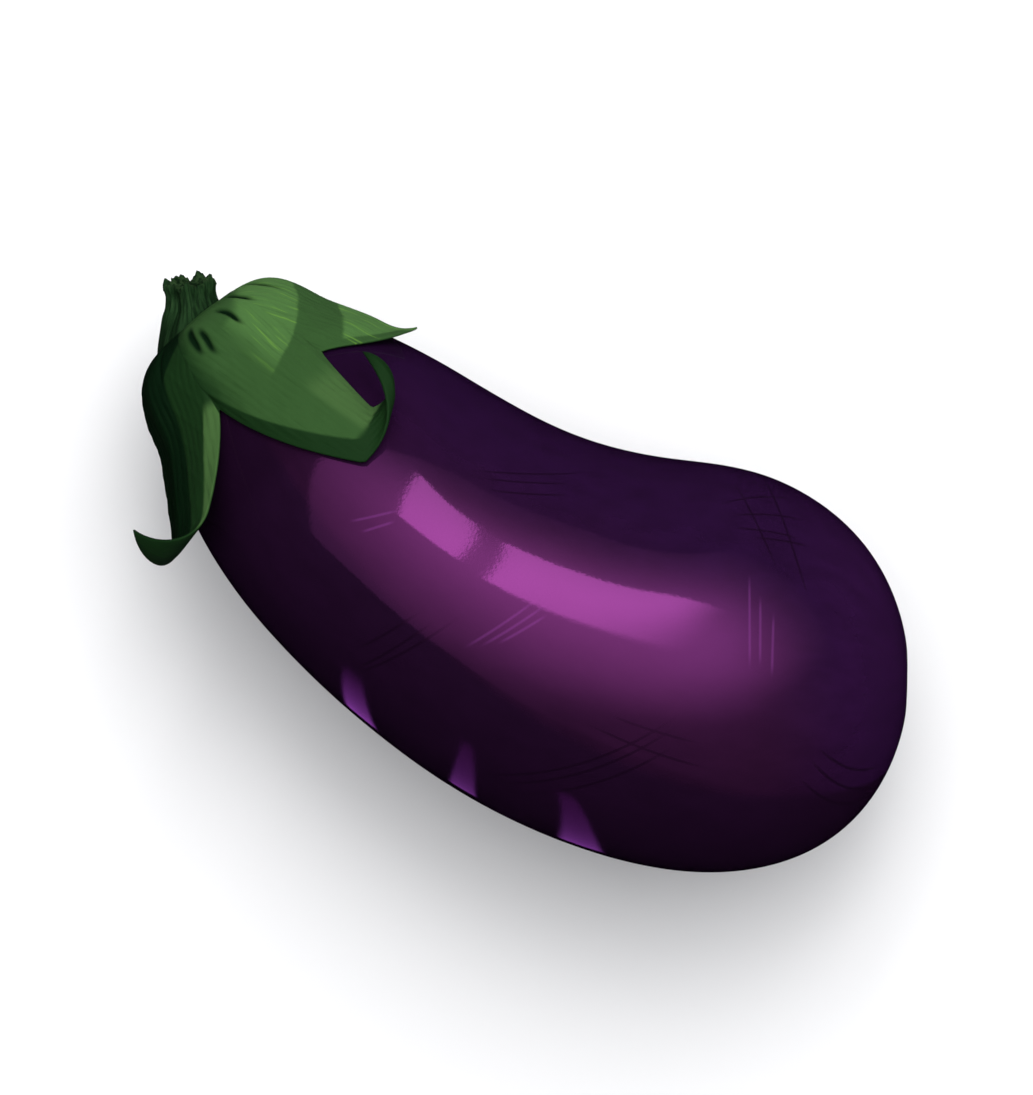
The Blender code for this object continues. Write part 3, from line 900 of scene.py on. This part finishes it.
# The band of painted shade between them: where each side is over the fruit at turn 0, and its slant back a
# radian.
PAINTED_SHADE_BAND = ((40.5, 12.5), (54.7, 13.8))
LEFT_LOBE_ENDS = (-0.34, -0.345)
LEFT_SHADE_FROM, LEFT_SHADE_SLANT = 20.0, 0.8
LEFT_SHADE_ENDS = (5.6, 4.4)
LEFT_LIT_STRIP_AT, LEFT_LIT_STRIP_SLANT = 19.5, 0.2
LEFT_LIT_STRIP_STARTS = (30.0, 34.0)
MID_STARTS = (-0.42, -0.02)
FRONT_LOBE_TURNS = ((-0.34, -0.30), (0.60, 0.70))
FRONT_LIT_TOP_TURNS = ((0.24, 0.32), (0.60, 0.70))
FRONT_LIT_TOP_STARTS = (43.0, 51.0)
FRONT_CURL_STARTS = (63.5, 66.0)
LOWER_MARGIN_STARTS = (0.83, 0.86)
LOWER_MARGIN_ENDS = (0.36, 0.32)
UPPER_MARGIN_TURNS = ((0.66, 0.70), (1.5, 1.6))
UPPER_MARGIN_SIDE = (-1.0, -3.0)
UPPER_MARGIN_STARTS = (0.93, 0.96)


def painted_light_patches(turn, over):
    """Painted light on the crown's hollow side and the upper tip, with a band of painted shade between them.
    """
    start = (CROWN_LIGHT_TURN - (over - CROWN_LIGHT_FROM) * CROWN_LIGHT_FALL).above(CROWN_LIGHT_LEAST)
    (first_at, first_slant), (last_at, last_slant) = PAINTED_SHADE_BAND
    before_band = (over - (first_at - turn * first_slant)).ramp(PATCH_EDGE, -PATCH_EDGE)
    after_band = (over - (last_at - turn * last_slant)).ramp(-PATCH_EDGE, PATCH_EDGE)
    crown = (turn - start).ramp(*CROWN_LIGHT_STARTS) * before_band * turn.ramp(*CROWN_LIGHT_ENDS)
    return (crown + after_band * turn.between(*UPPER_TIP_TURNS)).below()


def left_lobe_painted_shading(across, over, turn):
    """Painted shade on the left lobe's outer half, and a strip of painted light along its inner margin."""
    left_lobe = turn.ramp(*LEFT_LOBE_ENDS)
    outer_half = (across - (LEFT_SHADE_FROM - over).above() * LEFT_SHADE_SLANT).ramp(*LEFT_SHADE_ENDS)
    strip = (across + over * LEFT_LIT_STRIP_SLANT - LEFT_LIT_STRIP_AT).ramp(-0.5, 0.5) * over.ramp(*LEFT_LIT_STRIP_STARTS)
    return (left_lobe * outer_half, CALYX_PAINTED_DEEP_SHADE), (left_lobe * strip, CALYX_PAINTED_HALF_LIGHT)


def margin_painted_shade(across, over, edge, turn):
    """Painted shade on the margins under the front and upper lobes, and on the curl of the front tip."""
    lower_margin = edge.ramp(*LOWER_MARGIN_STARTS) * turn.ramp(*LOWER_MARGIN_ENDS)
    front = turn.between(*FRONT_LOBE_TURNS) * (lower_margin + over.ramp(*FRONT_CURL_STARTS)).below()
    upper_margin = across.ramp(*UPPER_MARGIN_SIDE) * edge.ramp(*UPPER_MARGIN_STARTS)
    return (front, CALYX_PAINTED_SHADE_AND_STREAK), (turn.between(*UPPER_MARGIN_TURNS) * upper_margin, CALYX_MID)


def calyx_material():
    """Leathery green with painted light and shade in broad patches, lengthwise streaks, and painted shade in
    the creases by the stem and on the inner side.
    """
    material, tree, shader = new_material("leathery_green_calyx")
    place = object_place(tree)
    names = ("across", "over", "edge", "turn", "groove", "inner")
    across, over, edge, turn, groove, inner = (mark(tree, name) for name in names)
    grain = vector_of(tree, across * 0.9, over * 0.05, 0.0)
    streaks = noise(tree, grain, 1.0, detail=4.0, roughness=0.6)
    clouds = noise(tree, place, 70.0, detail=3.0)
    felt = noise(tree, place, 2600.0, detail=2.0)
    light = painted_light_patches(turn + (clouds - 0.5) * 0.12, over + (clouds - 0.5) * 3)
    colour = layered(
        tree, CALYX_PAINTED_SHADE_AND_STREAK,
        # The dim base stays as painted shade on the side turned from the light. The mid green covers the
        # rest.
        ((turn + (clouds - 0.5) * 0.2).ramp(*MID_STARTS), CALYX_MID),
        # Painted light on the front lobe's upper side.
        (turn.between(*FRONT_LIT_TOP_TURNS) * over.ramp(*FRONT_LIT_TOP_STARTS) * 0.9, CALYX_PAINTED_HALF_LIGHT),
        # Painted light on the crown and the upper tip.
        (light, CALYX_PAINTED_LIGHT),
        # Painted shade and a strip of painted light on the left lobe.
        *left_lobe_painted_shading(across, over, turn),
        # Painted shade on the lobes' margins and on the front curl.
        *margin_painted_shade(across, over, edge, turn),
        # Paler vein streaks, shown only inside the painted light.
        (((streaks - 0.55).above() * 9.0).below() * light * 0.7, CALYX_STREAK_IN_PAINTED_LIGHT),
        (((0.43 - streaks).above() * 6.0).below() * 0.45, CALYX_PAINTED_SHADE_AND_STREAK),
        # Painted shade in the creases by the stem.
        ((groove * 1.6).below(), CALYX_PAINTED_DEEP_SHADE),
        # Painted shade on the calyx's inner side.
        (inner * 0.8, CALYX_PAINTED_SHADE_AND_STREAK),
    )
    plug(tree, colour, shader.inputs["Base Color"])
    plug(tree, 0.62 + (clouds - 0.5) * 0.2 + felt * 0.1, shader.inputs["Roughness"])
    shader.inputs["Specular IOR Level"].default_value = 0.05
    bump(tree, shader, streaks * 0.6 + felt * 0.25 + clouds * 0.3, 0.22)
    return material


STEM_GREEN = (0.0100, 0.0320, 0.0095)
STEM_DARK = (0.0025, 0.0115, 0.0028)
STEM_FIBRE = (0.0220, 0.0520, 0.0170)
TORN_PITH = (0.0170, 0.0400, 0.0125)


def stem_material():
    """Dark woody green with paler fibres down it and a dull, fibrous torn face."""
    material, tree, shader = new_material("woody_green_stem")
    place = object_place(tree)
    turn, height, torn = (mark(tree, name) for name in ("turn", "height", "torn"))
    grain = vector_of(tree, turn.cos() * 3.2, turn.sin() * 3.2, height * 0.9)
    fibres = noise(tree, grain, 2.6, detail=5.0, roughness=0.65)
    crumbs = noise(tree, place, 900.0, detail=3.0)
    crumbly = crumbs.ramp(0.4, 0.6)
    colour = layered(
        tree, STEM_DARK,
        (fibres.ramp(0.35, 0.65), STEM_GREEN),
        (fibres.ramp(0.58, 0.75) * 0.7, STEM_FIBRE),
        (height.ramp(0.86, 1.0) * crumbly * 0.5, TORN_PITH),
        (torn.ramp(0.0, 0.25), mixed(tree, crumbly, STEM_DARK, TORN_PITH)),
    )
    plug(tree, colour, shader.inputs["Base Color"])
    plug(tree, 0.6 + fibres * 0.2, shader.inputs["Roughness"])
    shader.inputs["Specular IOR Level"].default_value = 0.05
    bump(tree, shader, fibres * 0.7 + crumbs * 0.3, 0.35)
    return material


# Floor, light and camera. Light places and sizes are in metres, in the row's directions.
FLOOR_REACH = 6.0
FLOOR_TONES = (0.76, 0.76, 0.77), (0.79, 0.79, 0.79)
WORLD_COLOUR = (0.92, 0.93, 1.0, 1.0)
WORLD_STRENGTH = 0.26
WINDOW_HEIGHT = 1.1
SECOND_PANE_HEIGHT = 1.102
GLOW_HEIGHT = 1.11
WINDOW_SHINE = 5.6
FIRST_PANE = ((-0.74, 0.28), (-0.29, 1.70))
SECOND_PANE = ((-0.39, 0.22), (0.30, 1.06))
GLOW = ((-1.3, -1.9), (5.2, 6.1))
GLOW_CENTRE = (-0.08, 0.48)
GLOW_SPREAD = 0.72
GLOW_FALL = 2.2
GLOW_ENDS = (5.5, 2.5)
GLOW_BLOSSOM_SHARE = 0.25
GLOW_BLOSSOM_ENDS = (1.15, 0.35)
GLOW_SHINE = 3.9
GLOW_BLOSSOM_WAY = (0.8, -0.6)
# How wide the soft edges are: the panes' sides and ends, and the glow's near and stem sides.
SIDE_BLUR, END_BLUR, GLOW_NEAR_BLUR, GLOW_STEM_BLUR = 0.012, 0.03, 0.03, 0.05
# Bulging sides of the panes, at x = a - b * (y - c) squared.
FIRST_PANE_RIGHT = (-0.328, 0.15, 0.3)
SECOND_PANE_LEFT = (-0.254, 0.165, 0.24)
# The second pane's near end, and how it blurs: from which x, and by how much a metre.
SECOND_PANE_NEAR, SECOND_PANE_BLUR_FROM, SECOND_PANE_BLUR = 0.225, -0.27, 0.35
# Straight edges of the overhead lamps: they are lit where a * x + b * y + c is above 0.
FIRST_PANE_LEFT = (1.0, 0.112, 0.5616)
FIRST_PANE_FAR = (-1.6, -1.0, 0.4576)
FIRST_PANE_NEAR = (0.28, 1.0, -0.188)
SECOND_PANE_FAR = (0.0, -1.0, 1.04)
SECOND_PANE_FADE = (0.184, -0.25)
GLOW_NEAR = (0.19, 1.0, 1.16)
GLOW_STEM_SIDE = (1.0, -0.1, 1.2)
LOW_GLOW_COLOUR = (0.60, 0.13, 0.90)
LOW_GLOW_HEIGHT = 0.002
# Low glows: x and y of the near end, turn in degrees, width, reach, near end's share of width, brightness.
LOW_GLOWS = (
    (-0.028, -0.064, -17, 0.022, 0.32, 0.60, 0.75),
    (0.006, -0.070, -1.5, 0.030, 1.20, 0.37, 0.50),
    (0.042, -0.062, 11, 0.060, 1.50, 0.27, 0.54),
)
VIEW_ROLL_DEG = 31.675
VIEW_CENTRE = (-0.01445, 0.01176)
VIEW_DISTANCE = 1.85
VIEW_LEVEL = 0.049
VIEW_TALL = 0.2628


def make_floor():
    mesh = bpy.data.meshes.new("pale_floor")
    corners = [(x * FLOOR_REACH, y * FLOOR_REACH, 0) for x, y in ((-1, -1), (1, -1), (1, 1), (-1, 1))]
    mesh.from_pydata(corners, [], [(0, 1, 2, 3)])
    material, tree, shader = new_material("pale_studio_floor")
    tone = noise(tree, object_place(tree), 3.0)
    plug(tree, mixed(tree, tone, *FLOOR_TONES), shader.inputs["Base Color"])
    shader.inputs["Roughness"].default_value = 0.9
    shader.inputs["Specular IOR Level"].default_value = 0.1
    mesh.materials.append(material)
    floor = add_object("pale_floor", mesh)
    floor.visible_glossy = False


def area_light(name, place, turn_deg, size, shine, faces_up=False):
    """A flat lamp whose own brightness is shine, whatever its size. It never shows to the camera."""
    lamp = bpy.data.lights.new(name, "AREA")
    lamp.shape = "RECTANGLE"
    lamp.size, lamp.size_y = size
    lamp.energy = shine * math.pi * size[0] * size[1]
    made = add_object(name, lamp)
    made.location = place
    made.rotation_euler = (math.pi if faces_up else 0.0, 0.0, math.radians(turn_deg))
    made.visible_camera = False
    return made


def shade_lamp(lamp_object, rule):
    """Makes a lamp's brightness vary over its face. rule turns two places across it, 0 to 1, into a share."""
    lamp = lamp_object.data
    lamp.use_nodes = True
    tree = lamp.node_tree
    u, v, _ = parts_of(field(tree, "ShaderNodeNewGeometry", output="Parametric"))
    plug(tree, rule(u, v), tree.nodes["Emission"].inputs["Strength"])


def overhead_lamp(name, corners, height, shine, rule):
    """A lamp that faces down between two corners. rule turns x and y in metres into a share of its shine."""
    low, high = np.array(corners[0]), np.array(corners[1])
    lamp = area_light(name, (*((low + high) / 2).tolist(), height), 0.0, (high - low).tolist(), shine)
    wide, tall = (float(side) for side in high - low)
    shade_lamp(lamp, lambda u, v: rule(u * wide + corners[0][0], v * tall + corners[0][1]))


def lit_side(x, y, edge, blur):
    a, b, c = edge
    return (x * a + y * b + c).ramp(0.0, blur)


def bulging_side(y, side):
    a, b, c = side
    up = y - c
    return up * up * -b + a


def first_pane_share(x, y):
    """A pane with a slanting far end and a side that bulges towards the second pane."""
    right = (bulging_side(y, FIRST_PANE_RIGHT) - x).ramp(0.0, SIDE_BLUR)
    left = lit_side(x, y, FIRST_PANE_LEFT, SIDE_BLUR)
    far = lit_side(x, y, FIRST_PANE_FAR, END_BLUR)
    return right * left * far * lit_side(x, y, FIRST_PANE_NEAR, END_BLUR)


def second_pane_share(x, y):
    """A pane whose side follows the bulge of the first, and that fades away from it."""
    left = (x - bulging_side(y, SECOND_PANE_LEFT)).ramp(0.0, SIDE_BLUR)
    blur = END_BLUR + (x - SECOND_PANE_BLUR_FROM).above() * SECOND_PANE_BLUR
    near = (y - SECOND_PANE_NEAR).ramp(0.0, blur)
    return left * near * lit_side(x, y, SECOND_PANE_FAR, END_BLUR) * x.ramp(*SECOND_PANE_FADE)


def glow_share(x, y):
    """A wide glow round the window. Its crisp edges on the near and stem sides show as a clear band."""
    aside, beyond = x - GLOW_CENTRE[0], y - GLOW_CENTRE[1]
    distance = (aside * aside + beyond * beyond).math("SQRT")
    near = lit_side(x, y, GLOW_NEAR, GLOW_NEAR_BLUR)
    stem_side = lit_side(x, y, GLOW_STEM_SIDE, GLOW_STEM_BLUR)
    blossom_side = (aside * GLOW_BLOSSOM_WAY[0] + beyond * GLOW_BLOSSOM_WAY[1]).ramp(*GLOW_BLOSSOM_ENDS)
    sides = near * stem_side * (GLOW_BLOSSOM_SHARE + blossom_side * (1 - GLOW_BLOSSOM_SHARE))
    return sides * distance.ramp(*GLOW_ENDS) / ((distance / GLOW_SPREAD) ** GLOW_FALL + 1)


def fan_share(near_share):
    """A low glow's rule: a fan that is narrow at its near end, soft at its sides, and fades with distance."""
    def share(u, v):
        width = near_share + v * (1 - near_share)
        aside = (u * 2 - 1).math("ABSOLUTE") / width
        return aside.ramp(1.0, 0.5) * v.ramp(1.0, 0.0) ** 2
    return share


def make_lights():
    overhead_lamp("first_window_pane", FIRST_PANE, WINDOW_HEIGHT, WINDOW_SHINE, first_pane_share)
    overhead_lamp("second_window_pane", SECOND_PANE, SECOND_PANE_HEIGHT, WINDOW_SHINE, second_pane_share)
    overhead_lamp("window_glow", GLOW, GLOW_HEIGHT, GLOW_SHINE, glow_share)
    for number, (x, y, turn_deg, wide, reach, near_share, shine) in enumerate(LOW_GLOWS):
        turn = math.radians(turn_deg)
        place = (x + math.sin(turn) * reach / 2, y - math.cos(turn) * reach / 2, LOW_GLOW_HEIGHT)
        low_glow = area_light(f"low_glow_{number + 1}", place, turn_deg, (wide, reach), shine, faces_up=True)
        low_glow.data.color = LOW_GLOW_COLOUR
        shade_lamp(low_glow, fan_share(near_share))
        low_glow.visible_diffuse = False


def make_world():
    world = bpy.data.worlds.new("studio")
    bpy.context.scene.world = world
    world.use_nodes = True
    background = world.node_tree.nodes["Background"]
    background.inputs["Color"].default_value = WORLD_COLOUR
    background.inputs["Strength"].default_value = WORLD_STRENGTH
    world.cycles_visibility.glossy = False


def make_camera():
    """Looks straight down, rolled so that the fruit runs down to the right."""
    lens = bpy.data.cameras.new("camera")
    lens.lens = lens.sensor_width * VIEW_DISTANCE / VIEW_TALL
    camera = add_object("camera", lens)
    camera.location = (*VIEW_CENTRE, VIEW_LEVEL + VIEW_DISTANCE)
    camera.rotation_euler = (0.0, 0.0, math.radians(VIEW_ROLL_DEG))
    bpy.context.scene.camera = camera


make_skin()
make_calyx()
make_stem()
make_floor()
make_lights()
make_world()
make_camera()
bpy.context.scene.view_settings.view_transform = "Standard"
